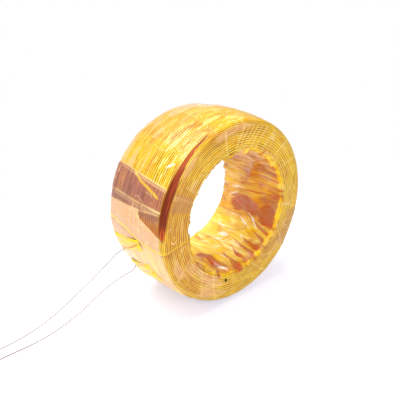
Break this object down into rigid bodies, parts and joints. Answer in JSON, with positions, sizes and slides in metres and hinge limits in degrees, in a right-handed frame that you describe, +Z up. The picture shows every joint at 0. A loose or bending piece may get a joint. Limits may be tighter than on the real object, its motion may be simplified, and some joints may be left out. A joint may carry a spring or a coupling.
{
  "type": "induction coil",
  "caption": "Air-core induction coil: a barrelled ring of enamelled copper wire bound in glossy amber film, standing on its rim, with fine bare-ended leads.",
  "frame": {"origin": "on the ground, at the middle of the flat spot that the coil stands on", "axes": "+Z up, +Y along the bore from the front face to the back face, the leads run off towards -X"},
  "size_m": [0.157, 0.0366, 0.0795],
  "materials": {
    "enamelled_wire": "glossy enamel over copper",
    "binding_film": "glossy, translucent amber",
    "folded_film": "glossy, several layers of translucent yellow",
    "lead_wire": "glossy enamel over copper"
  },
  "bodies": {
    "root": {"winding": "enamelled_wire", "film_wrap": "binding_film", "start_lead_tab": "folded_film", "finish_lead_tab": "folded_film", "start_lead": "lead_wire", "finish_lead": "lead_wire"}
  },
  "joints": []
}
